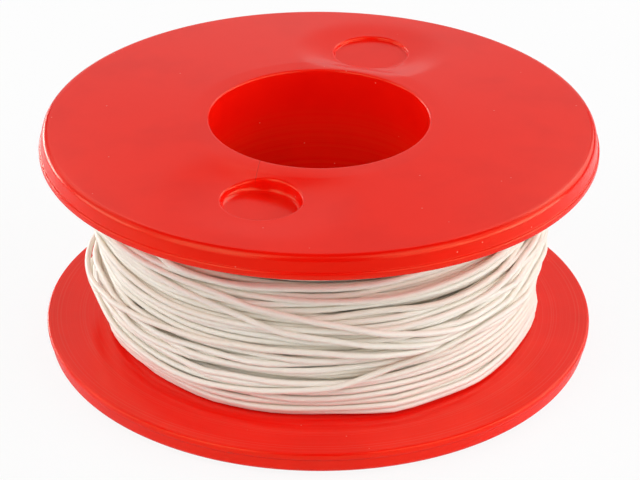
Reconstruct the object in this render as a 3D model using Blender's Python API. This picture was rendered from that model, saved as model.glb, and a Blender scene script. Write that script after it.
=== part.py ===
"""Wire spool: two alike moulded halves that meet at the middle of the hub, and the wire wound between them.

Metres, with +Z up along the spool's axis. The origin is the centre of the lower hub end, on which the
spool stands. A height is measured from the joint plane, halfway between the flanges, unless it says otherwise.
"""

import math

import bmesh
import bpy
from mathutils import Matrix, Vector

# Flanges
FLANGE_RADIUS = 0.0254  # over the lip, which is the widest place
RIM_THICKNESS = 0.00215  # from the inner face to the outer face's edge
RIM_INSET = 0.00015  # the rim's wall stands back this far from the lip
RIM_TAPER = 0.00012  # and draws in this far more up to its rounding
RIM_ROUNDING = 0.00065  # radius between the rim's wall and the outer face
LIP_HEIGHT = 0.0007
WINDING_WIDTH = 0.0171  # between the two inner faces
ROOT_FILLET = 0.0004  # between the hub and an inner face

# Hub
BORE_RADIUS = 0.0100
BORE_ROUNDING = 0.0002  # radius at the bore's mouth
HUB_WALL = 0.0019
HUB_RISE = 0.0005  # the hub's end stands this far above the rim
HUB_LAND = 0.0016  # width of the flat ring round the bore, on which the spool stands

# The joint in the hub: each half has two tongues and two pockets, a quarter turn apart. The upper
# half's tongues point to +Y and -Y, and the lower half's to +X and -X
TONGUE_THICKNESS = 0.0008
TONGUE_LENGTH = 0.0015
JOINT_CLEARANCE = 0.0003

# Round recesses in each outer face, opposite each other
RECESS_RADIUS = 0.0035
RECESS_PITCH_RADIUS = 0.0159
RECESS_DIRECTION = math.radians(72)  # from +X to the shallow one
SHALLOW_DEPTH = 0.0006  # below the outer face, at the recess's own axis
DEEP_DEPTH = 0.00125
SHALLOW_FILLET = 0.00015  # round the shallow one's floor
DEEP_FILLET = 0.00045

# Wire
WIRE_DIAMETER = 0.0005
PACK_RADIUS = 0.0205  # of the winding at its widest
PACK_EDGE_RADIUS = 0.0193  # of the winding where it meets a flange
PACK_FULLNESS = 4  # exponent of the winding's barrel: 2 is an ellipse, more is squarer
PACK_CLEARANCE = 0.0003  # from the winding to the spool and to the turn that lies on it

# The outermost turn: azimuth in degrees, height, and how far it stands off the winding
OUTER_TURN = [
    (-20, -0.0031, 0.0),
    (-40, -0.0028, 0.0),
    (-65, -0.0019, 0.0),
    (-90, -0.0013, 0.0),
    (-112, -0.0014, 0.0),
    (-130, -0.0019, 0.0),
    (-145, -0.0024, 0.0),
    (-157, -0.0028, 0.0001),
    (-167, -0.0031, 0.0003),
    (-176, -0.0031, 0.00042),
    (-184, -0.0027, 0.0003),
    (-193, -0.0023, 0.0001),
    (-206, -0.0018, 0.0),
    (-226, -0.0013, 0.0),
    (-250, -0.0012, 0.0),
    (-275, -0.0016, 0.0),
    (-300, -0.0020, 0.0),
]
OUTER_TURN_POINTS = 78

# Faceting
TURN_STEPS = 80  # round the spool
RECESS_STEPS = 28
PACK_STEPS = 10  # along the winding's outer profile
ROUNDING_STEPS = 4
OVERSHOOT = 0.001  # a cutter reaches this far past the face it opens

# Worked out from the above
HALF_WIDTH = WINDING_WIDTH / 2
HUB_RADIUS = BORE_RADIUS + HUB_WALL
FACE_HEIGHT = HALF_WIDTH + RIM_THICKNESS
LAND_HEIGHT = FACE_HEIGHT + HUB_RISE
LAND_RADIUS = BORE_RADIUS + BORE_ROUNDING + HUB_LAND
RIM_WALL_RADIUS = FLANGE_RADIUS - RIM_INSET
ROUNDING_RADIUS = RIM_WALL_RADIUS - RIM_TAPER
WIRE_RADIUS = WIRE_DIAMETER / 2
JOINT_TURN = Matrix.Rotation(math.pi, 4, Vector((1, 1, 0)).normalized())  # lays tongues in pockets


def arc(centre_radius, centre_height, radius, start, end, steps=ROUNDING_STEPS):
    """Points of an arc in the (radius, height) plane, from start to end in degrees."""
    points = []
    for i in range(steps + 1):
        angle = math.radians(start + (end - start) * i / steps)
        points.append((centre_radius + radius * math.cos(angle), centre_height + radius * math.sin(angle)))
    return points


def turned(name, profile):
    """A closed profile of (radius, height) points, turned once round the Z axis."""
    bm = bmesh.new()
    points = [bm.verts.new((radius, 0, height)) for radius, height in profile]
    edges = [bm.edges.new((points[i - 1], points[i])) for i in range(len(points))]
    bmesh.ops.spin(
        bm,
        geom=points + edges,
        cent=(0, 0, 0),
        axis=(0, 0, 1),
        angle=math.tau,
        steps=TURN_STEPS,
        use_merge=True,
    )
    bmesh.ops.recalc_face_normals(bm, faces=bm.faces)
    mesh = bpy.data.meshes.new(name)
    bm.to_mesh(mesh)
    bm.free()
    return mesh


def half_profile():
    """Section of one half, flange up. Its hub reaches below the joint plane as a thin ring."""
    tongue_radius = BORE_RADIUS + TONGUE_THICKNESS
    seam_height = JOINT_CLEARANCE / 2
    rounding_height = FACE_HEIGHT - RIM_ROUNDING
    rounding_centre = ROUNDING_RADIUS - RIM_ROUNDING
    mouth_centre = BORE_RADIUS + BORE_ROUNDING
    profile = [(BORE_RADIUS, -TONGUE_LENGTH), (tongue_radius, -TONGUE_LENGTH)]
    profile += [(tongue_radius, seam_height), (HUB_RADIUS, seam_height)]
    profile += arc(HUB_RADIUS + ROOT_FILLET, HALF_WIDTH - ROOT_FILLET, ROOT_FILLET, 180, 90, 3)
    profile += [(FLANGE_RADIUS, HALF_WIDTH), (FLANGE_RADIUS, HALF_WIDTH + LIP_HEIGHT)]
    profile += [(RIM_WALL_RADIUS, HALF_WIDTH + LIP_HEIGHT)]
    profile += arc(rounding_centre, rounding_height, RIM_ROUNDING, 0, 90)
    profile += [(LAND_RADIUS, LAND_HEIGHT)]
    profile += arc(mouth_centre, LAND_HEIGHT - BORE_ROUNDING, BORE_ROUNDING, 90, 180, 2)
    return profile


def cutter(name, mesh):
    """A hidden solid for a Boolean to take away."""
    guide = bpy.data.objects.new(name, mesh)
    guide.display_type = "WIRE"
    guide.hide_render = True
    bpy.context.scene.collection.objects.link(guide)
    return guide


def pocket_cutter():
    """Two wedges that open the thin ring where the other half's tongues go, leaving this half's own."""
    inner = BORE_RADIUS - OVERSHOOT
    outer = BORE_RADIUS + TONGUE_THICKNESS + JOINT_CLEARANCE
    low = -TONGUE_LENGTH - OVERSHOOT
    high = TONGUE_LENGTH + JOINT_CLEARANCE
    spread = math.pi / 4 + JOINT_CLEARANCE / BORE_RADIUS / 2
    steps = TURN_STEPS // 4
    bm = bmesh.new()
    for middle in (0, math.pi):
        section = [bm.verts.new((r, 0, z)) for r, z in ((inner, low), (outer, low), (outer, high), (inner, high))]
        face = bm.faces.new(section)
        to_start = Matrix.Rotation(middle - spread, 3, "Z")
        bmesh.ops.rotate(bm, verts=section, cent=(0, 0, 0), matrix=to_start)
        bmesh.ops.spin(bm, geom=[face], cent=(0, 0, 0), axis=(0, 0, 1), angle=2 * spread, steps=steps)
    bmesh.ops.recalc_face_normals(bm, faces=bm.faces)
    mesh = bpy.data.meshes.new("pocket_cutter")
    bm.to_mesh(mesh)
    bm.free()
    return cutter("pocket_cutter", mesh)


def face_height_at(radius):
    """Height of the gently coned outer face."""
    edge = ROUNDING_RADIUS - RIM_ROUNDING
    share = (edge - radius) / (edge - LAND_RADIUS)
    return FACE_HEIGHT + HUB_RISE * share


def recess_cutter(name, direction, depth, fillet):
    """An upright punch with a rounded end, sunk to depth below the outer face at its own axis."""
    floor = face_height_at(RECESS_PITCH_RADIUS) - depth
    top = LAND_HEIGHT + OVERSHOOT
    bm = bmesh.new()
    bmesh.ops.create_cone(
        bm,
        cap_ends=True,
        segments=RECESS_STEPS,
        radius1=RECESS_RADIUS,
        radius2=RECESS_RADIUS,
        depth=top - floor,
    )
    end = [edge for edge in bm.edges if all(vert.co.z < 0 for vert in edge.verts)]
    bmesh.ops.bevel(bm, geom=end, offset=fillet, segments=ROUNDING_STEPS, profile=0.5, affect="EDGES")
    mesh = bpy.data.meshes.new(name)
    bm.to_mesh(mesh)
    bm.free()
    guide = cutter(name, mesh)
    guide.location = (
        RECESS_PITCH_RADIUS * math.cos(direction),
        RECESS_PITCH_RADIUS * math.sin(direction),
        (top + floor) / 2,
    )
    return guide


def half_mesh():
    """The moulding that both halves share: turned, with its pockets and recesses cut."""
    blank = bpy.data.objects.new("blank", turned("spool_half", half_profile()))
    bpy.context.scene.collection.objects.link(blank)
    cutters = [
        pocket_cutter(),
        recess_cutter("shallow_recess", RECESS_DIRECTION, SHALLOW_DEPTH, SHALLOW_FILLET),
        recess_cutter("deep_recess", RECESS_DIRECTION + math.pi, DEEP_DEPTH, DEEP_FILLET),
    ]
    for guide in cutters:
        cut = blank.modifiers.new(guide.name, "BOOLEAN")
        cut.operation = "DIFFERENCE"
        cut.solver = "EXACT"
        cut.object = guide
    depsgraph = bpy.context.evaluated_depsgraph_get()
    mesh = bpy.data.meshes.new_from_object(blank.evaluated_get(depsgraph))
    for scrap in cutters + [blank]:
        bpy.data.objects.remove(scrap)
    mesh.name = "spool_half"
    return mesh


def pack_radius(height):
    """Outer radius of the winding at a height: a barrel with a full middle and rounded shoulders."""
    share = min(1, abs(height) / HALF_WIDTH)
    fullness = (1 - share**PACK_FULLNESS) ** (1 / PACK_FULLNESS)
    return PACK_EDGE_RADIUS + (PACK_RADIUS - PACK_EDGE_RADIUS) * fullness


def winding_profile():
    """Section of the winding, with its inner corners cut back for the hub's fillets."""
    inner = HUB_RADIUS + PACK_CLEARANCE
    end = HALF_WIDTH - PACK_CLEARANCE
    profile = []
    for i in range(PACK_STEPS + 1):
        height = -end * math.cos(math.pi * i / PACK_STEPS)
        profile.append((pack_radius(height), height))
    profile += [(inner + ROOT_FILLET, end), (inner, end - ROOT_FILLET)]
    profile += [(inner, -end + ROOT_FILLET), (inner + ROOT_FILLET, -end)]
    return profile


def smooth(before, start, end, after, share):
    """Catmull-Rom value between start and end, with the values on either side of them."""
    slope = 2 * start - 2 * end + (end - before) / 2 + (after - start) / 2
    bend = 3 * (end - start) - (end - before) - (after - start) / 2
    return start + share * ((end - before) / 2 + share * (bend + share * slope))


def outer_turn_points(middle_height):
    """Centreline of the outermost turn, read from a smooth curve through its route's points."""
    points = []
    last = len(OUTER_TURN) - 1
    for i in range(OUTER_TURN_POINTS):
        place = last * i / (OUTER_TURN_POINTS - 1)
        leg = min(int(place), last - 1)
        around = [OUTER_TURN[min(max(leg + k, 0), last)] for k in (-1, 0, 1, 2)]
        azimuth, height, stand_off = (smooth(*values, place - leg) for values in zip(*around))
        radius = pack_radius(height) + PACK_CLEARANCE + WIRE_RADIUS + stand_off
        angle = math.radians(azimuth)
        points.append((radius * math.cos(angle), radius * math.sin(angle), middle_height + height))
    return points


def plain_material(name, colour, roughness):
    """A plastic finish of one colour."""
    material = bpy.data.materials.new(name)
    material.use_nodes = True
    shader = material.node_tree.nodes["Principled BSDF"]
    shader.inputs["Base Color"].default_value = (*colour, 1)
    shader.inputs["Roughness"].default_value = roughness
    shader.inputs["Metallic"].default_value = 0
    return material


def placed(name, data, matrix, material):
    """A named piece of the spool, in its place and with its finish."""
    piece = bpy.data.objects.new(name, data)
    piece.matrix_world = matrix
    bpy.context.scene.collection.objects.link(piece)
    piece.data.materials.clear()
    piece.data.materials.append(material)
    return piece


def add_spool(middle):
    """The two halves on the joint plane, the lower one turned over so that tongues lie in pockets."""
    red = plain_material("red_moulded_plastic", (0.80, 0.035, 0.015), 0.32)
    mesh = half_mesh()
    mesh.shade_smooth()
    mesh.set_sharp_from_angle(angle=math.radians(30))
    placed("spool_half_upper", mesh, middle, red)
    placed("spool_half_lower", mesh.copy(), middle @ JOINT_TURN, red)


def add_wire(middle, middle_height):
    """The winding as one turned ring, and its outermost turn as a tube that lies on it."""
    white = plain_material("white_wire_insulation", (0.74, 0.70, 0.65), 0.38)
    winding = turned("wire_winding", winding_profile())
    winding.shade_smooth()
    winding.set_sharp_from_angle(angle=math.radians(30))
    placed("wire_winding", winding, middle, white)
    turn = bpy.data.curves.new("wire_outer_turn", "CURVE")
    turn.dimensions = "3D"
    turn.bevel_depth = WIRE_RADIUS
    turn.bevel_resolution = 2
    turn.use_fill_caps = True
    spline = turn.splines.new("POLY")
    spline.points.add(OUTER_TURN_POINTS - 1)
    for point, place in zip(spline.points, outer_turn_points(middle_height)):
        point.co = (*place, 1)
    placed("wire_outer_turn", turn, Matrix(), white)


def main():
    for leftover in list(bpy.data.objects):
        bpy.data.objects.remove(leftover)
    middle = Matrix.Translation((0, 0, LAND_HEIGHT))
    add_spool(middle)
    add_wire(middle, LAND_HEIGHT)


main()
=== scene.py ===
import math

import bmesh
import bpy
import numpy as np
from mathutils import Matrix, Vector


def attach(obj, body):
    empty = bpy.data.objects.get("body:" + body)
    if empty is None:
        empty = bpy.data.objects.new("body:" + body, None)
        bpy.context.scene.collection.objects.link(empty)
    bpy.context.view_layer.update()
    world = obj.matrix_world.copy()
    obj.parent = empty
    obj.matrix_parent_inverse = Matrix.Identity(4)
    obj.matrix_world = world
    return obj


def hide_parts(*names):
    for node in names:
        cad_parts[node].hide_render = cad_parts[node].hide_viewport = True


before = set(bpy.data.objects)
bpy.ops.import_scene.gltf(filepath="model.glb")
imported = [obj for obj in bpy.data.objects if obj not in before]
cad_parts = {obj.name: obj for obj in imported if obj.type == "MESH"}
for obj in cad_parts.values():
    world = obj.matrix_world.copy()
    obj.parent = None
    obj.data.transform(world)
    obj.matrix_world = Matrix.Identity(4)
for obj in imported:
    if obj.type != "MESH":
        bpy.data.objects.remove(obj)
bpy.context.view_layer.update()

mm = 0.001
middle = 11.2 * mm  # height of the plane halfway between the flanges

view = dict(
    target=(0, 0, 19.75 * mm),  # the middle of the upper flange's inner face
    distance=238.99 * mm,
    elevation=26.705,
    yaw=0.0287,
    pitch=-2.1145,
    roll=0.2847,
    lens=147.6,
    sensor=36.0,
    clip=(0.01, 20),
)


def addCamera():
    # looks at the target from the front, then turns by yaw, pitch and roll about its own axes
    lift, yaw, pitch, roll = (math.radians(view[k]) for k in ("elevation", "yaw", "pitch", "roll"))
    back = Vector((0, -math.cos(lift), math.sin(lift)))
    right = Vector((1, 0, 0))
    up = right.cross(-back)
    ahead = -back * math.cos(yaw) * math.cos(pitch)
    ahead += right * math.sin(yaw) * math.cos(pitch)
    ahead += up * math.sin(pitch)
    side = ahead.cross(up).normalized()
    top = side.cross(ahead)
    x = side * math.cos(roll) + top * math.sin(roll)
    y = -side * math.sin(roll) + top * math.cos(roll)
    data = bpy.data.cameras.new("camera")
    data.lens = view["lens"]
    data.sensor_width = view["sensor"]
    data.clip_start, data.clip_end = view["clip"]
    camera = bpy.data.objects.new("camera", data)
    turn = Matrix((x, y, -ahead)).transposed()
    place = Vector(view["target"]) + back * view["distance"]
    camera.matrix_world = Matrix.Translation(place) @ turn.to_4x4()
    bpy.context.scene.collection.objects.link(camera)
    bpy.context.scene.camera = camera
    print(f"camera: {view['distance'] / mm:.0f} mm away, {view['elevation']} degrees up")


class Value:
    # an output socket that stands in an expression: every operator adds one Math node
    def __init__(self, graph, socket):
        self.graph = graph
        self.socket = socket

    def math(self, operation, *others):
        inputs = dict(enumerate((self, *others)))
        return self.graph.node("ShaderNodeMath", {"operation": operation}, inputs)["Value"]

    def __add__(self, other):
        return self.math("ADD", other)

    def __sub__(self, other):
        return self.math("SUBTRACT", other)

    def __mul__(self, other):
        return self.math("MULTIPLY", other)

    def __truediv__(self, other):
        return self.math("DIVIDE", other)

    def __pow__(self, other):
        return self.math("POWER", other)

    def __rsub__(self, other):
        return self.graph.node("ShaderNodeMath", {"operation": "SUBTRACT"}, {0: other, 1: self})["Value"]

    __radd__ = __add__
    __rmul__ = __mul__


class Made:
    # a node whose outputs are read by name
    def __init__(self, graph, node):
        self.graph = graph
        self.node = node

    def __getitem__(self, name):
        return Value(self.graph, self.node.outputs[name])


class Graph:
    def __init__(self, tree):
        self.tree = tree
        tree.nodes.clear()

    def node(self, kind, settings=None, sockets=None):
        # a node of this kind, its settings first, then values or links on its sockets
        made = self.tree.nodes.new(kind)
        for name, setting in (settings or {}).items():
            if name == "stops":
                self.setStops(made.color_ramp, setting)
            else:
                setattr(made, name, setting)
        for name, value in (sockets or {}).items():
            if isinstance(value, Value):
                self.tree.links.new(value.socket, made.inputs[name])
            else:
                made.inputs[name].default_value = value
        return Made(self, made)

    def mix(self, share, first, second):
        # a colour between first and second; the Mix node's colour sockets are its seventh and eighth
        return self.node("ShaderNodeMix", {"data_type": "RGBA"}, {0: share, 6: first, 7: second})[2]

    def setStops(self, ramp, stops):
        while len(ramp.elements) > 1:
            ramp.elements.remove(ramp.elements[-1])
        for i, (place, colour) in enumerate(stops):
            stop = ramp.elements[0] if i == 0 else ramp.elements.new(place)
            stop.position = place
            stop.color = colour


def ramp(graph, value, low, high):
    # 0 below low, 1 above high, smooth between them; low may be the greater one
    sockets = {"Value": value, "From Min": low, "From Max": high, "To Min": 0.0, "To Max": 1.0}
    return graph.node("ShaderNodeMapRange", {"interpolation_type": "SMOOTHSTEP"}, sockets)["Result"]


studio = dict(
    floorSize=3.0,
    floorColour=(0.86, 0.86, 0.86, 1),
    frontColour=(0.40, 0.40, 0.40, 1),  # what the rim mirrors of the floor well in front of the spool
    frontFrom=-55 * mm,
    frontFull=-75 * mm,
    floorGlow=0.9,  # how white the camera sees the floor round the spool, where 1 is wholly white
    bounces=24,  # light goes in and out between the wire's turns many times
    lampDistance=0.5,
    lamps=(
        # name, azimuth and height in degrees, width, depth, power
        ("frontRight", 315, 35, 0.3, 0.3, 0.41),
        ("frontRightLow", 315, 12, 0.4, 0.2, 0.33),
        ("sideRightLow", 337, 15, 0.3, 0.2, 0.34),
        ("frontLeft", 225, 35, 0.3, 0.3, 0.48),
        ("frontLeftLow", 225, 12, 0.4, 0.2, 0.37),
        ("highLeft", 225, 55, 0.3, 0.3, 0.34),
        ("highRight", 315, 55, 0.3, 0.3, 0.28),
        ("right", 0, 35, 0.3, 0.3, 0.28),
        ("rightLow", 0, 15, 0.3, 0.2, 0.54),
        ("rightEdge", 0, 5, 0.3, 0.08, 0.26),
        ("left", 180, 35, 0.3, 0.3, 0.27),
        ("leftLow", 180, 15, 0.3, 0.2, 0.53),
        ("backRight", 45, 30, 0.3, 0.3, 0.57),
        ("backRightRim", 58, 42, 0.3, 0.2, 0.17),  # the gleam on the rim's rounding
        ("backLeft", 135, 30, 0.3, 0.3, 0.15),
        ("backLeftEdge", 135, 5, 0.3, 0.08, 0.81),
        ("backLeftRim", 122, 42, 0.3, 0.2, 0.17),
        ("back", 90, 30, 0.3, 0.3, 0.15),  # what the flat faces mirror
        ("backEdge", 90, 9, 0.4, 0.14, 0.11),
    ),
)


def addLamp(name, azimuth, height, width, depth, power):
    # an area lamp on a sphere round the spool, facing its middle
    a, h = math.radians(azimuth), math.radians(height)
    out = Vector((math.cos(a) * math.cos(h), math.sin(a) * math.cos(h), math.sin(h)))
    data = bpy.data.lights.new(name, "AREA")
    data.shape = "RECTANGLE"
    data.size = width
    data.size_y = depth
    data.energy = power
    lamp = bpy.data.objects.new(name, data)
    lamp.location = out * studio["lampDistance"] + Vector((0, 0, middle))
    lamp.rotation_mode = "QUATERNION"
    lamp.rotation_quaternion = (-out).to_track_quat("-Z", "Y")
    bpy.context.scene.collection.objects.link(lamp)


def addStudio():
    # a white world that only the camera sees, the lamps, and a floor that glows for the camera alone
    world = bpy.data.worlds.new("studio")
    bpy.context.scene.world = world
    world.use_nodes = True
    graph = Graph(world.node_tree)
    path = graph.node("ShaderNodeLightPath")
    seen = path["Is Camera Ray"].math("MAXIMUM", path["Is Transmission Ray"])
    background = graph.node("ShaderNodeBackground", {}, {"Color": (1, 1, 1, 1), "Strength": seen})
    graph.node("ShaderNodeOutputWorld", {}, {"Surface": background["Background"]})
    for lamp in studio["lamps"]:
        addLamp(*lamp)
    edge = studio["floorSize"] / 2
    mesh = bpy.data.meshes.new("floor")
    corners = [(-edge, -edge, 0), (edge, -edge, 0), (edge, edge, 0), (-edge, edge, 0)]
    mesh.from_pydata(corners, [], [(0, 1, 2, 3)])
    floor = bpy.data.objects.new("floor", mesh)
    bpy.context.scene.collection.objects.link(floor)
    material = bpy.data.materials.new("floor")
    material.use_nodes = True
    graph = Graph(material.node_tree)
    path = graph.node("ShaderNodeLightPath")
    place = graph.node("ShaderNodeTexCoord")["Object"]
    y = graph.node("ShaderNodeSeparateXYZ", {}, {"Vector": place})["Y"]
    front = ramp(graph, y, studio["frontFrom"], studio["frontFull"])
    colour = graph.mix(front, studio["floorColour"], studio["frontColour"])
    diffuse = graph.node("ShaderNodeBsdfDiffuse", {}, {"Color": colour})
    glow = graph.node("ShaderNodeEmission", {}, {"Color": (1, 1, 1, 1), "Strength": 1.0})
    share = path["Is Camera Ray"] * (front * (1 - studio["floorGlow"]) + studio["floorGlow"])
    mixed = graph.node("ShaderNodeMixShader", {}, {0: share, 1: diffuse["BSDF"], 2: glow["Emission"]})
    graph.node("ShaderNodeOutputMaterial", {}, {"Surface": mixed["Shader"]})
    mesh.materials.append(material)
    bpy.context.scene.view_settings.view_transform = "Standard"
    bpy.context.scene.cycles.diffuse_bounces = studio["bounces"]
    print(f"studio: {len(studio['lamps'])} lamps, {studio['bounces']} diffuse bounces")


wire = dict(
    diameter=0.55 * mm,
    press=0.04 * mm,  # how far turns that touch press into each other's insulation
    conductor=0.25 * mm,
    faceGap=0.06 * mm,  # between the outermost turns and the flanges
    hubRadius=11.9 * mm,
    halfWidth=8.55 * mm,  # of the winding room
    packRadius=20.3 * mm,  # of the winding at its widest
    packEdge=19.3 * mm,  # and where it meets a flange
    fullness=4,
    pitch=0.54 * mm,
    stepsPerTurn=180,
    gridStep=0.05 * mm,
    seed=14,
)


def eased(share):
    # 0 below 0, 1 above 1, and 3 s^2 - 2 s^3 between
    share = np.clip(share, 0, 1)
    return share * share * (3 - 2 * share)


def smoothed(values, reach):
    # a bell-weighted running mean over this many neighbours on either side
    bell = np.hanning(2 * reach + 3)[1:-1]
    return np.convolve(np.pad(values, reach, mode="edge"), bell / bell.sum(), mode="valid")


def packRadiusAt(height):
    # barrel: edge + (widest - edge) * (1 - |height / half width| ^ fullness) ^ (1 / fullness)
    share = np.minimum(1, np.abs(height) / wire["halfWidth"])
    full = (1 - share ** wire["fullness"]) ** (1 / wire["fullness"])
    return wire["packEdge"] + (wire["packRadius"] - wire["packEdge"]) * full


class Pack:
    # The wound wire so far. ground[angle, height] is the least radius at which the middle of one more
    # wire can lie there: each wire laid lifts it by a circular arch one diameter wide to either side.
    def __init__(self):
        self.steps = wire["stepsPerTurn"]
        self.apart = wire["diameter"] - wire["press"]
        self.limit = wire["halfWidth"] - wire["diameter"] / 2 - wire["faceGap"]
        self.heights = np.arange(-wire["halfWidth"], wire["halfWidth"], wire["gridStep"])
        start = wire["hubRadius"] + wire["diameter"] / 2
        self.ground = np.full((self.steps, len(self.heights)), start)

    def groundAt(self, columns, height):
        # between two heights of the grid: low * (1 - share) + next * share
        place = (height - self.heights[0]) / wire["gridStep"]
        place = np.clip(place, 0, len(self.heights) - 1.001)
        low = place.astype(int)
        share = place - low
        return self.ground[columns, low] * (1 - share) + self.ground[columns, low + 1] * share

    def lay(self, columns, height, radius):
        # the arch over a wire laid at this height: radius + sqrt(d^2 - off^2)
        d = self.apart
        off = self.heights[None, :] - height[:, None]
        arch = radius[:, None] + np.sqrt(np.maximum(d * d - off * off, 0))
        self.ground[columns] = np.maximum(self.ground[columns], np.where(np.abs(off) < d, arch, 0))


taut = dict(
    rounds=3,
    reaches=(24, 12, 6, 3, 2, 1),  # half the length of each chord, in steps
    tail=30,  # steps of the laid wire that a new stretch is pulled against
)


def pulledTaut(ground, before, step):
    # A taut wire is nowhere hollow: with u = 1 / radius, u(a) is at most the mean of u(a - s) and
    # u(a + s) over cos(s), the chord between them. The values before it are already laid.
    fixed = len(before)
    u = 1 / np.concatenate([before, ground])
    for _ in range(taut["rounds"]):
        for reach in taut["reaches"]:
            chord = (u[: -2 * reach] + u[2 * reach:]) / (2 * math.cos(reach * step))
            first = max(fixed - reach, 0)
            inner = u[reach + first: len(u) - reach]
            np.minimum(inner, chord[first:], out=inner)
    return 1 / u[fixed:]


windingStyle = dict(
    # how far turns sway, by how many waves go round: deep inside, and in the layers that show
    inside={1: 0.10 * mm, 2: 0.05 * mm, 3: 0.02 * mm},
    outside={1: 0.30 * mm, 2: 0.16 * mm, 3: 0.08 * mm},
    showsFrom=0.86,  # share of the fill
    stop=0.955,
    kept=0.9,  # share of the sway that a layer keeps of the one below
    slide=0.05 * mm,  # how far a turn slips down the ground's slope at each go
    slips=8,
    feel=0.12 * mm,  # how far to either side it feels that slope
    steepest=1.2,  # and the most it makes of it
    slopeReach=6,  # steps over which the slope is evened out, and the height after it
    heightReach=3,
    easeIn=0.25,  # angle over which a stretch starts to slip
    homeIn=0.7,  # angle in which it leaves the height of the one before
    knots=6,  # across the winding, between which the sway changes evenly
    knotSpan=9 * mm,
    calmWidth=1.5 * mm,  # near a flange, where the sway dies away
    startGap=0.1 * mm,  # from the lower flange to the first turn
    turnBack=0.3,  # how far from a flange a layer ends, as a spread in millimetres
    evening=1200,  # how much faster the wire moves on for each metre the pack stands too high
    pitchShares=(0.85, 1.8),
    edgeSteps=10,  # of the grid, left out of the fill at either flange
    closePitch=0.59 * mm,  # of the last full layer, whose turns lie side by side
    ownSway=0.05 * mm,  # how far each of its turns strays by itself
    ownWave=0.9,  # and over what angle
    ownReach=10,  # steps over which that is evened out
    closeSway={1: 0.32 * mm, 2: 0.14 * mm, 3: 0.06 * mm},
    closeKnots=4,
    closeSlips=8,
    homing=1.5,  # turns that the wire takes back to the flange before that layer
    routeReach=6,  # steps over which the corners of a routed turn are evened out
)

# the last turns, each a list of (azimuth, millimetres above the middle) in the order they are laid
lastTurns = [
    [(-20, 1.9), (-35, 1.4), (-50, 0.85), (-75, 0.85), (-95, 0.95), (-115, 0.75), (-130, 0.7),
     (-148, 0.95), (-165, 1.1), (-215, 0.9), (-290, 0.3), (-340, 0.0)],
    [(-380, -0.5), (-398, -1.1), (-412, -0.9), (-420, -0.4), (-430, 0.3), (-440, 1.2), (-450, 2.0),
     (-460, 2.7), (-468, 3.4), (-475, 3.8), (-485, 4.0), (-500, 4.3), (-515, 4.4), (-530, 4.3),
     (-570, 3.4), (-640, 0.6), (-700, -1.2)],
    [(-740, -1.6), (-760, -1.7), (-775, -1.7), (-785, -1.3), (-792, -0.9), (-800, -0.4), (-810, 0.2),
     (-820, 0.9), (-828, 1.5), (-835, 2.3), (-842, 3.0), (-850, 3.4), (-860, 3.5), (-875, 3.4),
     (-890, 3.0), (-930, 1.0), (-1000, -1.8), (-1060, -3.0)],
]

# the turn that stands off the winding at the left: azimuth, height, and how far it stands off, in metres
outerTurn = [
    (-20, -0.0031, 0.0),
    (-40, -0.0028, 0.0),
    (-65, -0.0019, 0.0),
    (-90, -0.0013, 0.0),
    (-112, -0.0014, 0.0),
    (-130, -0.0019, 0.0),
    (-145, -0.0024, 0.0),
    (-157, -0.0028, 0.0001),
    (-167, -0.0031, 0.0003),
    (-176, -0.0031, 0.00042),
    (-184, -0.0027, 0.0003),
    (-193, -0.0023, 0.0001),
    (-206, -0.0018, 0.0),
    (-226, -0.0013, 0.0),
    (-250, -0.0012, 0.0),
    (-275, -0.0016, 0.0),
    (-300, -0.0020, 0.0),
]
outerRest = dict(packRadius=20.5 * mm, clearance=0.55 * mm, blend=0.3 * mm, evenedOver=3)

# the turn that closes the winding, over the loose one: azimuth and millimetres above the middle
closingTurn = [
    (-345, -2.3), (-375, -2.2), (-390, -1.8), (-398, -1.6), (-405, -1.7), (-415, -2.0), (-422, -2.5),
    (-430, -3.2), (-440, -4.0), (-445, -4.6), (-450, -4.9), (-460, -5.3), (-476, -5.9), (-490, -6.0),
    (-515, -5.6), (-540, -5.0), (-590, -3.5), (-620, -2.8),
]


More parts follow.
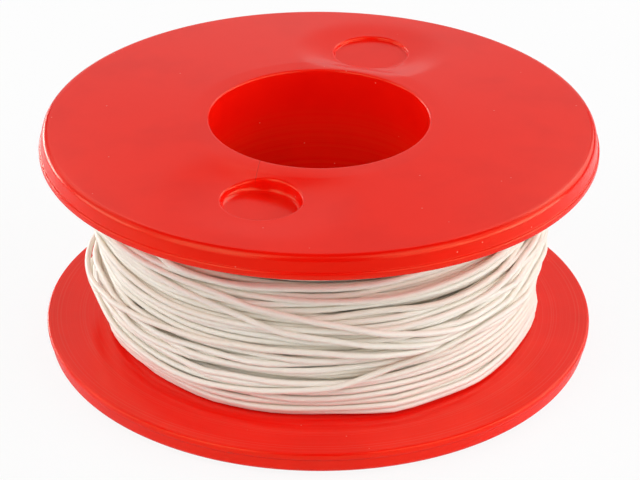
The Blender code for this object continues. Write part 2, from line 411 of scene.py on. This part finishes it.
class Winding:
    # Lays the wire stretch by stretch. Angles grow the way the wire goes, against the azimuth.
    def __init__(self):
        self.pack = Pack()
        self.random = np.random.default_rng(wire["seed"])
        self.step = math.tau / self.pack.steps
        self.angles = []
        self.heights = []
        self.radii = []
        self.place = 0  # steps laid so far
        self.tail = np.full(taut["tail"], self.pack.ground[0, 0])
        self.lastHeight = None

    def layStretch(self, wanted, kept, slips, standOff=None):
        # wanted: a height for each of the next steps, of which the first ones are kept
        # its height is wanted + carried * exp(-angle / homeIn), less slide * slope at each slip
        pack, step, style = self.pack, self.step, windingStyle
        places = self.place + np.arange(len(wanted))
        columns = places % pack.steps
        begun = np.minimum(1, np.arange(len(wanted)) * step / style["easeIn"])
        carried = 0 if self.lastHeight is None else self.lastHeight - wanted[0]
        height = wanted + carried * np.exp(-np.arange(len(wanted)) * step / style["homeIn"])
        height = np.clip(height, -pack.limit, pack.limit)
        feel, steepest = style["feel"], style["steepest"]
        for _ in range(slips):
            above, below = pack.groundAt(columns, height + feel), pack.groundAt(columns, height - feel)
            slope = np.clip((above - below) / (2 * feel), -steepest, steepest)
            height = height - style["slide"] * smoothed(slope, style["slopeReach"]) * begun
            height = np.clip(height, -pack.limit, pack.limit)
        height = smoothed(height, style["heightReach"]) * begun + height * (1 - begun)
        radius = pulledTaut(pack.groundAt(columns, height), self.tail, step)
        if standOff is not None:
            radius = standOff(height, radius)
        pack.lay(columns[:kept], height[:kept], radius[:kept])
        self.angles.append(places[:kept] * step)
        self.heights.append(height[:kept])
        self.radii.append(radius[:kept])
        self.tail = np.concatenate([self.tail, radius[:kept]])[-taut["tail"]:]
        self.lastHeight = height[min(kept, len(height) - 1)]
        self.place += kept

    def fill(self):
        # Back and forth between the flanges until the pack is full. A stretch is half a turn, with a
        # sixth of a turn looked ahead. Where the pack stands high the wire moves on faster.
        style, pack = windingStyle, self.pack
        kept, ahead = pack.steps // 2, pack.steps // 6
        knots = np.linspace(-style["knotSpan"], style["knotSpan"], style["knots"])
        low, high = -pack.limit, pack.limit
        place, heading = low + style["startGap"], 1
        edge = style["edgeSteps"]
        room = packRadiusAt(pack.heights) - wire["hubRadius"]
        sway = {k: self.random.normal(size=(2, style["knots"])) for k in style["inside"]}
        while True:
            stand = pack.ground.mean(0) - wire["hubRadius"]
            fill = (stand / room)[edge:-edge].mean()
            if fill > style["stop"]:
                break
            excess = np.interp(place, pack.heights, stand - fill * room)
            pitch = wire["pitch"] * np.clip(1 + style["evening"] * excess, *style["pitchShares"])
            base = place + heading * pitch * np.arange(kept + ahead) / pack.steps
            base = np.where(base > high, 2 * high - base, base)
            base = np.where(base < low, 2 * low - base, base)
            angle = (self.place + np.arange(kept + ahead)) * self.step
            calm = np.clip((pack.limit - np.abs(base)) / style["calmWidth"], 0, 1)
            amount = style["outside"] if fill > style["showsFrom"] else style["inside"]
            wanted = base.copy()
            for waves, (across, along) in sway.items():
                size = amount[waves] * calm
                wanted += size * np.interp(base, knots, across) * np.cos(waves * angle)
                wanted += size * np.interp(base, knots, along) * np.sin(waves * angle)
            self.layStretch(wanted, kept, style["slips"])
            place += heading * pitch / 2
            if place > high or place < low:
                place = 2 * high - place if place > high else 2 * low - place
                heading = -heading
                fresh = math.sqrt(1 - style["kept"] ** 2)
                for waves in sway:
                    change = self.random.normal(size=(2, style["knots"]))
                    sway[waves] = style["kept"] * sway[waves] + fresh * change
                low = -pack.limit + abs(self.random.normal()) * style["turnBack"] * mm
                high = pack.limit - abs(self.random.normal()) * style["turnBack"] * mm
        print(f"wound to a fill of {fill:.3f} in {self.place / pack.steps:.1f} turns")

    def cover(self):
        # the last full layer: from the lower flange to the upper one, its turns swaying alike
        style, pack = windingStyle, self.pack
        kept, ahead = pack.steps // 2, pack.steps // 6
        count = int(pack.steps * (style["homing"] + 2 * pack.limit / style["closePitch"]))
        share = np.arange(count + ahead) / pack.steps - style["homing"]
        base = -pack.limit + np.maximum(share, 0) * style["closePitch"]
        base += (self.lastHeight + pack.limit) * eased(-share / style["homing"])
        base = np.minimum(base, pack.limit)
        knots = np.linspace(-style["knotSpan"], style["knotSpan"], style["closeKnots"])
        angle = (self.place + np.arange(count + ahead)) * self.step
        calm = np.clip((pack.limit - np.abs(base)) / style["calmWidth"], 0, 1)
        wanted = base.copy()
        for waves, size in style["closeSway"].items():
            across, along = self.random.normal(size=(2, style["closeKnots"]))
            wanted += size * calm * np.interp(base, knots, across) * np.cos(waves * angle)
            wanted += size * calm * np.interp(base, knots, along) * np.sin(waves * angle)
        ownKnots = np.arange(angle[0], angle[-1] + style["ownWave"], style["ownWave"])
        own = np.interp(angle, ownKnots, self.random.normal(size=len(ownKnots)))
        wanted += style["ownSway"] * calm * smoothed(own, style["ownReach"])
        for start in range(0, count, kept):
            self.layStretch(wanted[start:start + kept + ahead], min(kept, count - start), style["closeSlips"])

    def follow(self, route, slips=3, standOff=None):
        # lays one routed turn, beginning where the azimuth next matches the route's first point
        azimuth, height = np.array([p[0] for p in route], float), np.array([p[1] for p in route])
        turn = self.pack.steps
        first = int(round(-azimuth[0] / 360 * turn))
        begin = self.place + (first - self.place) % turn
        last = begin + int(round((azimuth[0] - azimuth[-1]) / 360 * turn))
        places = np.arange(self.place, last)
        before = places < begin
        angle = (places - begin) / turn * 360
        wanted = np.interp(angle, azimuth[0] - azimuth, height)
        wanted = smoothed(wanted, windingStyle["routeReach"])
        lead = max(1, before.sum())
        wanted[before] = self.lastHeight + (wanted[before] - self.lastHeight) * np.linspace(0, 1, lead)
        self.layStretch(wanted, len(wanted), slips, standOff and (lambda h, r: standOff(angle, h, r)))


def outerStandOff(angle, height, radius):
    # where the loose turn stands off, it leaves the pack for its own distance from the axis:
    # radius + min(1, off / blend) * (barrel + clearance + off - radius)
    azimuth = np.array([p[0] for p in outerTurn], float)
    off = np.interp(angle, azimuth[0] - azimuth, [p[2] for p in outerTurn])
    off = smoothed(off, outerRest["evenedOver"])
    share = np.clip(off / outerRest["blend"], 0, 1)
    widest = packRadiusAt(height) - wire["packRadius"] + outerRest["packRadius"]
    free = widest + outerRest["clearance"] + off
    return radius + share * np.maximum(free - radius, 0)


def ringsAlong(points, sides, radius):
    # rings round a path, each in the plane across it, its first point facing away from the spool's axis:
    # point + radius * (cos a * out + sin a * side)
    ahead = np.gradient(points, axis=0)
    ahead /= np.linalg.norm(ahead, axis=1, keepdims=True)
    out = points * (1, 1, 0)
    out -= (out * ahead).sum(1, keepdims=True) * ahead
    out /= np.linalg.norm(out, axis=1, keepdims=True)
    side = np.cross(ahead, out)
    angle = np.arange(sides) / sides * math.tau
    return points[:, None] + radius * (
        np.cos(angle)[None, :, None] * out[:, None] + np.sin(angle)[None, :, None] * side[:, None])


def gridQuads(rows, columns, start):
    # the faces between rows of points that each close into a ring
    grid = np.arange(rows * columns).reshape(rows, columns) + start
    beside = np.roll(grid, -1, 1)
    return np.stack([grid[:-1], beside[:-1], beside[1:], grid[1:]], -1).reshape(-1, 4)


def noise(graph, place, size, detail):
    # a noise texture whose features are about this size
    return graph.node("ShaderNodeTexNoise", {}, {"Vector": place, "Scale": 1 / size, "Detail": detail})["Fac"]


def makeObject(name, verts, faces, material):
    mesh = bpy.data.meshes.new(name)
    mesh.from_pydata(verts.tolist(), [], faces)
    mesh.shade_smooth()
    mesh.materials.append(material)
    made = bpy.data.objects.new(name, mesh)
    bpy.context.scene.collection.objects.link(made)
    return made


insulation = dict(
    colour=(0.88, 0.835, 0.75, 1),
    shade=(0.84, 0.78, 0.68, 1),
    roughness=0.36,
    patch=35 * mm,  # length over which its tone changes
    grain=0.4 * mm,
    grainDepth=0.004 * mm,
    inside=0.35,  # share of the light that goes in and comes out again
    insideReach=0.3 * mm,
    insideColours=(0.8, 0.9, 1.0),  # that reach for red, green and blue
    toneRange=(0.35, 0.75),  # of the noise, from the colour to the shade
    roughnessSpread=0.1,
)
tinned = dict(colour=(0.62, 0.60, 0.57, 1), roughness=0.32, roughnessSpread=0.2, grain=0.05 * mm)


def addInsulation():
    # thin extruded insulation, off-white, its tone changing a little along the wire
    material = bpy.data.materials.new("insulation")
    material.use_nodes = True
    graph = Graph(material.node_tree)
    place = graph.node("ShaderNodeTexCoord")["Object"]
    along = graph.node("ShaderNodeAttribute", {"attribute_name": "along"})["Fac"]
    tone = graph.node("ShaderNodeTexNoise", {"noise_dimensions": "1D"},
                      {"W": along, "Scale": 1 / insulation["patch"], "Detail": 2.0})
    grain = noise(graph, place, insulation["grain"], 2.0)
    shaded = ramp(graph, tone["Fac"], *insulation["toneRange"])
    colour = graph.mix(shaded, insulation["colour"], insulation["shade"])
    bump = graph.node("ShaderNodeBump", {}, {"Height": grain, "Distance": insulation["grainDepth"]})
    roughness = (grain - 0.5) * insulation["roughnessSpread"] + insulation["roughness"]
    shader = graph.node("ShaderNodeBsdfPrincipled", {}, {
        "Base Color": colour, "Roughness": roughness, "Normal": bump["Normal"],
        "Subsurface Weight": insulation["inside"], "Subsurface Scale": insulation["insideReach"],
        "Subsurface Radius": insulation["insideColours"]})
    graph.node("ShaderNodeOutputMaterial", {}, {"Surface": shader["BSDF"]})
    return material


def addTinned():
    # the tinned conductor, bare where the wire is cut
    material = bpy.data.materials.new("tinnedCopper")
    material.use_nodes = True
    graph = Graph(material.node_tree)
    place = graph.node("ShaderNodeTexCoord")["Object"]
    drawn = noise(graph, place, tinned["grain"], 2.0)
    roughness = (drawn - 0.5) * tinned["roughnessSpread"] + tinned["roughness"]
    shader = graph.node("ShaderNodeBsdfPrincipled", {}, {
        "Base Color": tinned["colour"], "Metallic": 1.0, "Roughness": roughness})
    graph.node("ShaderNodeOutputMaterial", {}, {"Surface": shader["BSDF"]})
    return material


wireDetail = dict(
    # from and to which share of the turns, and rings a turn
    rings=((0, 0.1, 10), (0.1, 0.6, 12), (0.6, 0.83, 30), (0.83, 0.985, 68), (0.985, 1, 160)),
    buried=0.83,
    sides=5,
    sharp=50,
)


def wirePath():
    # the middle of the wire at each ring, (r cos a, -r sin a, height), and whether it is buried there
    winding = Winding()
    winding.fill()
    winding.cover()
    for route in lastTurns:
        winding.follow([(a, h * mm) for a, h in route])
    winding.follow([(a, h) for a, h, off in outerTurn], standOff=outerStandOff)
    winding.follow([(a, h * mm) for a, h in closingTurn])
    angle = np.concatenate(winding.angles)
    height = np.concatenate(winding.heights)
    radius = np.concatenate(winding.radii)
    turns = angle / math.tau
    total = turns[-1]
    at = np.concatenate([
        np.arange(begin * total, end * total, 1 / rings) for begin, end, rings in wireDetail["rings"]])
    r = np.interp(at, turns, radius)
    z = middle + np.interp(at, turns, height)
    print(f"winding: {total:.1f} turns, the widest of radius {radius.max() / mm:.2f} mm")
    path = np.stack([r * np.cos(at * math.tau), -r * np.sin(at * math.tau), z], -1)
    return path, at < wireDetail["buried"] * total


def addWire():
    # one closed tube: few sides where it is buried, twice as many from there on
    path, hidden = wirePath()
    steps = np.linalg.norm(np.diff(path, axis=0), axis=1)
    along = np.concatenate([[0], np.cumsum(steps)])
    sides = wireDetail["sides"]
    buried = int(hidden.sum())
    coarse = ringsAlong(path, sides, wire["diameter"] / 2)[:buried]
    fine = ringsAlong(path, 2 * sides, wire["diameter"] / 2)[buried:]
    core = path[-1] + (fine[-1] - path[-1]) * wire["conductor"] / wire["diameter"]
    verts = np.concatenate([coarse.reshape(-1, 3), fine.reshape(-1, 3), core])
    first = coarse.shape[0] * sides  # of the fine rings' points
    last = np.arange(2 * sides) + len(verts) - 4 * sides  # the last ring, just before the conductor's
    thin = np.arange(sides) + first - sides
    odd = first + 2 * np.arange(sides) + 1
    nextEven = first + (2 * np.arange(sides) + 2) % (2 * sides)
    faces = gridQuads(len(coarse), sides, 0).tolist() + gridQuads(len(fine), 2 * sides, first).tolist()
    faces += np.stack([thin, odd - 1, odd], -1)[:, (0, 2, 1)].tolist()
    faces += np.stack([thin, np.roll(thin, -1), nextEven, odd], -1).tolist()
    faces += np.stack([last, np.roll(last, -1), np.roll(last, -1) + 2 * sides, last + 2 * sides], -1).tolist()
    faces += [list(range(sides))[::-1], (last + 2 * sides).tolist()]
    piece = makeObject("wire", verts, faces, addInsulation())
    outward(piece.data)
    piece.data.materials.append(addTinned())
    piece.data.polygons[len(faces) - 1].material_index = 1
    lengthAt = np.concatenate([np.repeat(along[:buried], sides), np.repeat(along[buried:], 2 * sides),
                               np.full(2 * sides, along[-1])])
    piece.data.attributes.new("along", "FLOAT", "POINT").data.foreach_set("value", lengthAt)
    piece.data.set_sharp_from_angle(angle=math.radians(wireDetail["sharp"]))
    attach(piece, "root")
    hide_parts("wire_winding", "wire_outer_turn")
    print(f"wire: {along[-1]:.2f} m, {len(faces)} faces")


def outward(mesh):
    # turns every face to point out of its closed mesh
    bm = bmesh.new()
    bm.from_mesh(mesh)
    bmesh.ops.delete(bm, geom=[v for v in bm.verts if not v.link_faces], context="VERTS")
    bmesh.ops.recalc_face_normals(bm, faces=bm.faces)
    bm.to_mesh(mesh)
    bm.free()


plastic = dict(
    colour=(0.90, 0.0055, 0.0012, 1),
    shade=(0.84, 0.0035, 0.0008, 1),  # where the pigment lies thicker
    # the colour of the dust specks, and of the painted sheen along the turned rings
    dust=(0.86, 0.16, 0.13, 1),
    roughness=0.22,
    roughnessSpread=0.08,
    specular=0.35,
    tint=(1.0, 0.98, 0.45, 1),  # of what it mirrors head-on
    mottleRange=(0.40, 0.75),  # of the noise, from the colour to the shade
    markPitch=0.16 * mm,  # of the turned tool's marks
    markDepth=0.0012 * mm,
    markOnWalls=0.45,  # their pitch across a face over their pitch down a wall
    markWander=0.3,  # how far the mottling shifts them, in pitches
    markRoughness=0.06,
    outerMarks=0.5,  # their height on the outside
    innerMarks=2.2,  # and how much more on the faces that hold the wire
    innerReach=0.1 * mm,  # past those faces, where it has died away
    grain=0.35 * mm,
    grainHeight=0.3,  # in marks
    mottle=7 * mm,
    dustCell=2.0 * mm,
    dustSize=0.085 * mm,
    dustHeight=2.0,
    scuff=0.5,  # painted reflection: share of its own colour in a paler patch low in the bore, laid along the turned rings
    scuffColour=(0.88, 0.035, 0.008, 1),
    scuffRange=(0.25, 0.7),  # of the marks
    scuffReach=(8.5 * mm, 4.5 * mm),  # from the middle of the bore: none, and full
    scuffDepth=(0.2 * mm, 0.05 * mm),  # past the bore's radius: none, and full
    scratch=0.16,  # painted sheen: share of the dust colour along the turned rings on the faces that hold the wire
    scratchRange=(0.5, 0.72),
    weldColour=(0.58, 0.007, 0.003, 1),
    weldShare=0.8,
    weldDepth=8.0,
    # the weld line from the bore to the deep recess: x = start + slope * y, between two values of y and
    # on the upper outer face alone
    weld=dict(start=-4.15 * mm, slope=0.117, width=0.05 * mm, near=-11.7 * mm, far=-8.4 * mm,
              fade=0.1 * mm, core=0.3, above=(20 * mm, 21 * mm)),
)


def addPlastic(name):
    # moulded plastic: a little mottled, with the mould's turned marks as fine rings and some dust, a painted
    # sheen along the rings on the faces that hold the wire and a painted reflection low in the bore
    material = bpy.data.materials.new(name)
    material.use_nodes = True
    graph = Graph(material.node_tree)
    place = graph.node("ShaderNodeTexCoord")["Object"]
    axes = graph.node("ShaderNodeSeparateXYZ", {}, {"Vector": place})
    x, y, z = axes["X"], axes["Y"], axes["Z"]
    radius = (x * x + y * y) ** 0.5
    mottle = noise(graph, place, plastic["mottle"], 3.0)
    grain = noise(graph, place, plastic["grain"], 2.0)
    wander = mottle * (plastic["markWander"] * plastic["markPitch"])
    across = radius + z * plastic["markOnWalls"] + wander
    fromMiddle = (z - middle).math("ABSOLUTE")
    inner = ramp(graph, fromMiddle, wire["halfWidth"] + plastic["innerReach"], wire["halfWidth"])
    inBore = ramp(graph, radius, *(half["boreRadius"] + depth for depth in plastic["scuffDepth"]))
    marks = graph.node("ShaderNodeTexNoise", {"noise_dimensions": "1D"},
                       {"W": across, "Scale": 1 / plastic["markPitch"], "Detail": 3.0, "Roughness": 0.65})
    # dust specks, in the colour that also paints the sheen along the turned rings
    cells = graph.node("ShaderNodeTexVoronoi", {}, {"Vector": place, "Scale": 1 / plastic["dustCell"]})
    size = plastic["dustSize"] / plastic["dustCell"]
    dust = ramp(graph, cells["Distance"], size, size * 0.5)
    weld = plastic["weld"]
    off = (x - y * weld["slope"] - weld["start"]).math("ABSOLUTE")
    line = ramp(graph, off, weld["width"], weld["width"] * weld["core"]) * ramp(graph, z, *weld["above"])
    line = line * ramp(graph, y, weld["near"], weld["near"] + weld["fade"])
    line = line * ramp(graph, y, weld["far"], weld["far"] - weld["fade"])
    mottled = ramp(graph, mottle, *plastic["mottleRange"])
    toned = graph.mix(mottled, plastic["colour"], plastic["shade"])
    toned = graph.mix(line * plastic["weldShare"], toned, plastic["weldColour"])
    # painted reflection: a paler patch low in the bore, broken up by the turned rings
    reflectedBand = inBore * ramp(graph, fromMiddle, *plastic["scuffReach"])
    reflectedBand = reflectedBand * ramp(graph, marks["Fac"], *plastic["scuffRange"])
    toned = graph.mix(reflectedBand * plastic["scuff"], toned, plastic["scuffColour"])
    # painted sheen: the turned rings on the faces that hold the wire made paler, more so towards the rim
    sheenedRings = inner * ramp(graph, marks["Fac"], *plastic["scratchRange"])
    sheenedRings = sheenedRings * ramp(graph, radius, wire["hubRadius"], wire["packRadius"])
    toned = graph.mix(sheenedRings * plastic["scratch"], toned, plastic["dust"])
    toned = graph.mix(dust, toned, plastic["dust"])
    roughness = (mottle - 0.5) * plastic["roughnessSpread"]
    roughness = roughness + (marks["Fac"] - 0.5) * plastic["markRoughness"] + plastic["roughness"]
    height = marks["Fac"] * (inner * plastic["innerMarks"] + plastic["outerMarks"])
    height = height + grain * plastic["grainHeight"] + dust * plastic["dustHeight"]
    height = height - line * plastic["weldDepth"]
    bump = graph.node("ShaderNodeBump", {}, {
        "Height": height, "Strength": 1.0, "Distance": plastic["markDepth"]})
    shader = graph.node("ShaderNodeBsdfPrincipled", {}, {
        "Base Color": toned, "Roughness": roughness, "Normal": bump["Normal"],
        "Specular IOR Level": plastic["specular"], "Specular Tint": plastic["tint"]})
    graph.node("ShaderNodeOutputMaterial", {}, {"Surface": shader["BSDF"]})
    return material


half = dict(
    flangeRadius=25.4 * mm,
    rimThickness=2.15 * mm,
    rimInset=0.15 * mm,  # the rim's wall stands back this far from the lip
    rimTaper=0.12 * mm,  # and draws in this much more up to its rounding
    rimRounding=0.65 * mm,
    lipHeight=0.7 * mm,
    lipRounding=0.2 * mm,
    lipFillet=0.05 * mm,
    boreRadius=10 * mm,
    boreRounding=0.2 * mm,
    hubRise=0.5 * mm,
    land=1.6 * mm,  # width of the flat ring round the bore
    rootFillet=0.4 * mm,
    tongue=0.8 * mm,  # thickness
    tongueLength=1.5 * mm,
    clearance=0.3 * mm,  # in the joint
    recessRadius=3.5 * mm,
    recessPitch=15.9 * mm,
    recessRounding=0.22 * mm,
    dipEnds=(20.5 * mm, 24.2 * mm),  # radii between which the dips round the recesses come to nothing
    columns=288,
    windowColumns=11,  # to either side of a recess: the part of the face that its own rings replace
    windowRadii=(12.1 * mm, 19.7 * mm),
    windowRows=10,
    windowShares=(0.25, 0.5, 0.75, 0.9, 1.0),  # rings between the window's border and the recess
    wallShares=(0.3, 0.7),  # rings down a recess's wall
    floorShares=(0.9, 0.6, 0.3),  # and in its floor
    rimMargin=0.06 * mm,
    jointSplit=0.03,  # degrees to either side of a tongue's edge
    sharp=32,
    # points along each stretch of the section
    steps=dict(bore=12, root=5, innerFace=16, lip=4, lipFillet=3, rimWall=5, rimRounding=8, outerFace=9,
               toLand=3, land=5, mouth=5, recessRim=6, recessFillet=7),
)
recesses = [
    # azimuth, depth of the floor's middle below the undipped face, the floor's slope along x and its fillet;
    # round it the face dips: by how much at its axis, how much less for each unit further out, how far to
    # the sides, and the radii between which the dip begins
    dict(azimuth=72, depth=0.66 * mm, slope=0.0, fillet=0.12 * mm, dip=0.34 * mm, lean=0.041, reach=7.5 * mm,
         start=10.25 * mm, full=12.8 * mm),
    dict(azimuth=252, depth=1.3 * mm, slope=0.08, fillet=0.45 * mm, dip=0.32 * mm, lean=0.03, reach=9.5 * mm,
         start=10.25 * mm, full=14.0 * mm),
]


def bend(radius, height, size, start, end, steps):
    # a round corner in the (radius, height) plane: centre + size * (cos a, sin a), a in degrees
    angle = np.radians(np.linspace(start, end, steps + 1))
    return np.stack([radius + size * np.cos(angle), height + size * np.sin(angle)], -1)


def run(start, end, steps):
    # a straight stretch, its points crowded towards both ends: share = (1 - cos(pi * i / steps)) / 2
    share = (1 - np.cos(np.linspace(0, math.pi, steps + 1))) / 2
    return np.array(start) + share[:, None] * (np.array(end) - np.array(start))


class Half:
    # One moulding, flange up, its heights measured from the joint plane. The section of (radius, height)
    # points is carried round the axis; two windows in the outer face are left open for the recesses.
    def __init__(self):
        h = half
        self.hub = wire["hubRadius"]
        self.inner = wire["halfWidth"]
        self.face = self.inner + h["rimThickness"]
        self.landHeight = self.face + h["hubRise"]
        self.landRadius = h["boreRadius"] + h["boreRounding"] + h["land"]
        self.rim = h["flangeRadius"] - h["rimInset"]
        self.faceEdge = self.rim - h["rimTaper"] - h["rimRounding"]
        self.verts = []
        self.quads = []
        self.ends = []
        self.count = 0

    def coneHeight(self, radius):
        # the outer face falls in a straight line from the land to the rim's rounding
        share = (radius - self.landRadius) / (self.faceEdge - self.landRadius)
        return self.landHeight - half["hubRise"] * share

    def axisOf(self, recess):
        # the middle of a recess: pitch * (cos a, sin a)
        direction = math.radians(recess["azimuth"])
        return half["recessPitch"] * np.array([math.cos(direction), math.sin(direction)])

    def dip(self, flat):
        # (dip - lean * way out) * eased(1 - distance past the recess / reach) * eased fades near bore and rim
        radius = np.linalg.norm(flat, axis=-1)
        first, last = half["dipEnds"]
        total = 0
        for recess in recesses:
            off = np.linalg.norm(flat - self.axisOf(recess), axis=-1) - half["recessRadius"]
            beside = eased(1 - off / (recess["reach"] - half["recessRadius"]))
            size = recess["dip"] - recess["lean"] * (radius - half["recessPitch"])
            rise = eased((radius - recess["start"]) / (recess["full"] - recess["start"]))
            total = total + size * beside * rise * eased((last - radius) / (last - first))
        return total

    def faceHeight(self, flat):
        # the cone less the dips round the recesses
        return self.coneHeight(np.linalg.norm(flat, axis=-1)) - self.dip(flat)

    def azimuths(self):
        # even columns with one on each recess, and two close columns at each side of a tongue
        even = recesses[0]["azimuth"] + np.arange(half["columns"]) * 360 / half["columns"]
        side = 45 - math.degrees(half["clearance"] / half["boreRadius"] / 2)
        sides = np.array([90 - side, 90 + side, 270 - side, 270 + side])
        nearby = half["jointSplit"]
        return np.sort(np.concatenate([even % 360, sides - nearby, sides + nearby])), side

    def section(self, onTongue):
        # rows of (radius, height), each with a value for every column
        h, n, top = half, half["steps"], self.landHeight - half["boreRounding"]
        seam = h["clearance"] / 2
        tongue = h["boreRadius"] + h["tongue"]
        pocket = tongue + h["clearance"]
        pocketEnd = h["tongueLength"] + h["clearance"]
        end = np.where(onTongue, -h["tongueLength"], pocketEnd)
        share = run((0, 0), (1, 1), n["bore"])[:, :1]
        bore = np.stack(np.broadcast_arrays(h["boreRadius"], top + share * (end - top)), -1)
        corner = np.stack([np.where(onTongue, tongue, pocket), np.where(onTongue, seam, pocketEnd)], -1)
        joint = [np.stack(np.broadcast_arrays(tongue, end), -1)[None], corner[None]]
        low = self.inner + h["lipRounding"]
        high = self.inner + h["lipHeight"] - h["lipRounding"]
        lip = h["flangeRadius"] - h["lipRounding"]
        lipTop = self.inner + h["lipHeight"]
        root, fillet = h["rootFillet"], h["lipFillet"]
        shoulder = self.face - h["rimRounding"]
        mouth = h["boreRadius"] + h["boreRounding"]
        inner, outer = h["windowRadii"]

        def onCone(radii):
            return [(r, self.coneHeight(r)) for r in radii]

        rim = [
            [(pocket, seam), (self.hub, seam)],
            bend(self.hub + root, self.inner - root, root, 180, 90, n["root"]),
            run((self.hub + root, self.inner), (lip, self.inner), n["innerFace"])[1:-1],
            bend(lip, low, h["lipRounding"], -90, 0, n["lip"]),
            bend(lip, high, h["lipRounding"], 0, 90, n["lip"]),
            bend(self.rim + fillet, lipTop + fillet, fillet, 270, 180, n["lipFillet"]),
            run((self.rim, lipTop + fillet), (self.rim - h["rimTaper"], shoulder), n["rimWall"])[1:-1],
            bend(self.faceEdge, shoulder, h["rimRounding"], 0, 90, n["rimRounding"]),
        ]
        beside = onCone(run((self.faceEdge, 0), (outer, 0), n["outerFace"])[1:-1, 0])
        window = onCone(np.linspace(outer, inner, h["windowRows"] + 1))
        land = [
            onCone(run((inner, 0), (self.landRadius, 0), n["toLand"])[1:, 0]),
            run((self.landRadius, self.landHeight), (mouth, self.landHeight), n["land"])[1:],
            bend(mouth, top, h["boreRounding"], 90, 180, n["mouth"])[1:-1],
        ]
        self.faceFrom = sum(len(stretch) for stretch in rim) + len(bore) + len(joint)
        first = self.faceFrom + len(beside)
        plain = np.concatenate([np.array(stretch) for stretch in [*rim, beside, window, *land]])
        plain = np.broadcast_to(plain[:, None], (len(plain), len(end), 2))
        return np.concatenate([bore, *joint, plain]), slice(first, first + len(window))

    def add(self, points, quads):
        self.verts.append(points)
        self.quads.append(quads + self.count)
        self.count += len(points)

    def addTurned(self):
        # the section at each azimuth a: (radius * cos a, radius * sin a, height), less the dips
        azimuth, side = self.azimuths()
        fromTongue = np.abs((azimuth % 180) - 90)
        onTongue = fromTongue < side
        section, window = self.section(onTongue)
        rows, columns = section.shape[:2]
        a = np.radians(azimuth)
        points = np.stack([section[..., 0] * np.cos(a), section[..., 0] * np.sin(a), section[..., 1]], -1)
        points[self.faceFrom:, :, 2] -= self.dip(points[self.faceFrom:, :, :2])
        grid = np.arange(rows * columns).reshape(rows, columns)
        below, beside = np.roll(grid, -1, 0), np.roll(grid, -1, 1)
        quads = np.stack([grid, beside, np.roll(below, -1, 1), below], -1)
        keep = np.ones((rows, columns), bool)
        loops = []
        for recess in recesses:
            centre = int(np.argmin(np.abs(azimuth - recess["azimuth"] % 360)))
            first, last = centre - half["windowColumns"], centre + half["windowColumns"]
            keep[window.start:window.stop - 1, first:last] = False
            frameOf = grid[window, first:last + 1]
            loops.append(np.concatenate([
                frameOf[0, :-1], frameOf[:-1, -1], frameOf[-1, :0:-1], frameOf[:0:-1, 0]]))
        self.add(points.reshape(-1, 3), quads[keep])
        for recess, loop in zip(recesses, loops):
            self.addRecess(recess, loop)

    def addRecess(self, recess, loop):
        # rings that run from the window's own corners in to a circle, over its rounded rim and down
        h, sides = half, len(loop)
        axis = self.axisOf(recess)
        border = self.verts[0][loop]
        around = border[:, :2] - axis
        angle = np.unwrap(np.arctan2(around[:, 1], around[:, 0]))
        turn = np.sign(angle[-1] - angle[0]) * np.arange(sides) / sides * math.tau
        angle = turn + (angle - turn).mean()
        ray = np.stack([np.cos(angle), np.sin(angle)], -1)
        radius, rounding, fillet = h["recessRadius"], h["recessRounding"], recess["fillet"]

        def ring(flat, height):
            rings.append(np.concatenate([flat, np.broadcast_to(height, sides)[:, None]], 1))

        def floorAt(flat):
            # a plane: height at the axis - slope * (x - axis)
            atAxis = self.coneHeight(h["recessPitch"]) - recess["depth"]
            return atAxis - recess["slope"] * (flat[:, 0] - axis[0])

        rings = []
        rim = axis + (radius + rounding + h["rimMargin"]) * ray
        for share in h["windowShares"]:
            flat = border[:, :2] * (1 - share) + rim * share
            ring(flat, self.faceHeight(flat))
        for r, down in bend(radius + rounding, -rounding, rounding, 90, 180, h["steps"]["recessRim"]):
            ring(axis + r * ray, self.faceHeight(axis + r * ray) + down)
        wall = axis + radius * ray
        top, foot = self.faceHeight(wall) - rounding, floorAt(wall) + fillet
        for share in h["wallShares"]:
            ring(wall, top * (1 - share) + foot * share)
        for r, up in bend(radius - fillet, fillet, fillet, 0, -90, h["steps"]["recessFillet"]):
            ring(axis + r * ray, floorAt(axis + r * ray) + up)
        for share in h["floorShares"]:
            flat = axis + (radius - fillet) * share * ray
            ring(flat, floorAt(flat))
        points = np.concatenate(rings)
        grid = np.arange(len(points)).reshape(-1, sides) + self.count
        grid = np.concatenate([loop[None], grid])
        beside = np.roll(grid, -1, 1)
        quads = np.stack([grid[:-1], beside[:-1], beside[1:], grid[1:]], -1).reshape(-1, 4)
        self.ends.append(grid[-1].tolist())
        self.add(points, quads - self.count)


def addHalf(name, node, lower):
    # the lower half is the same moulding turned over: (x, y, height) becomes (y, x, -height)
    moulding = Half()
    moulding.addTurned()
    points = np.concatenate(moulding.verts)
    if lower:
        points = points[:, (1, 0, 2)] * (1, 1, -1)
    points = points + (0, 0, middle)
    faces = np.concatenate(moulding.quads).tolist() + moulding.ends
    piece = makeObject(name, points, faces, addPlastic(name))
    outward(piece.data)
    piece.data.set_sharp_from_angle(angle=math.radians(half["sharp"]))
    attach(piece, "root")
    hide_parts(node)
    print(f"{name}: {len(piece.data.polygons)} faces")


addCamera()
addStudio()
addWire()
addHalf("upperHalf", "spool_half_upper", lower=False)
addHalf("lowerHalf", "spool_half_lower", lower=True)
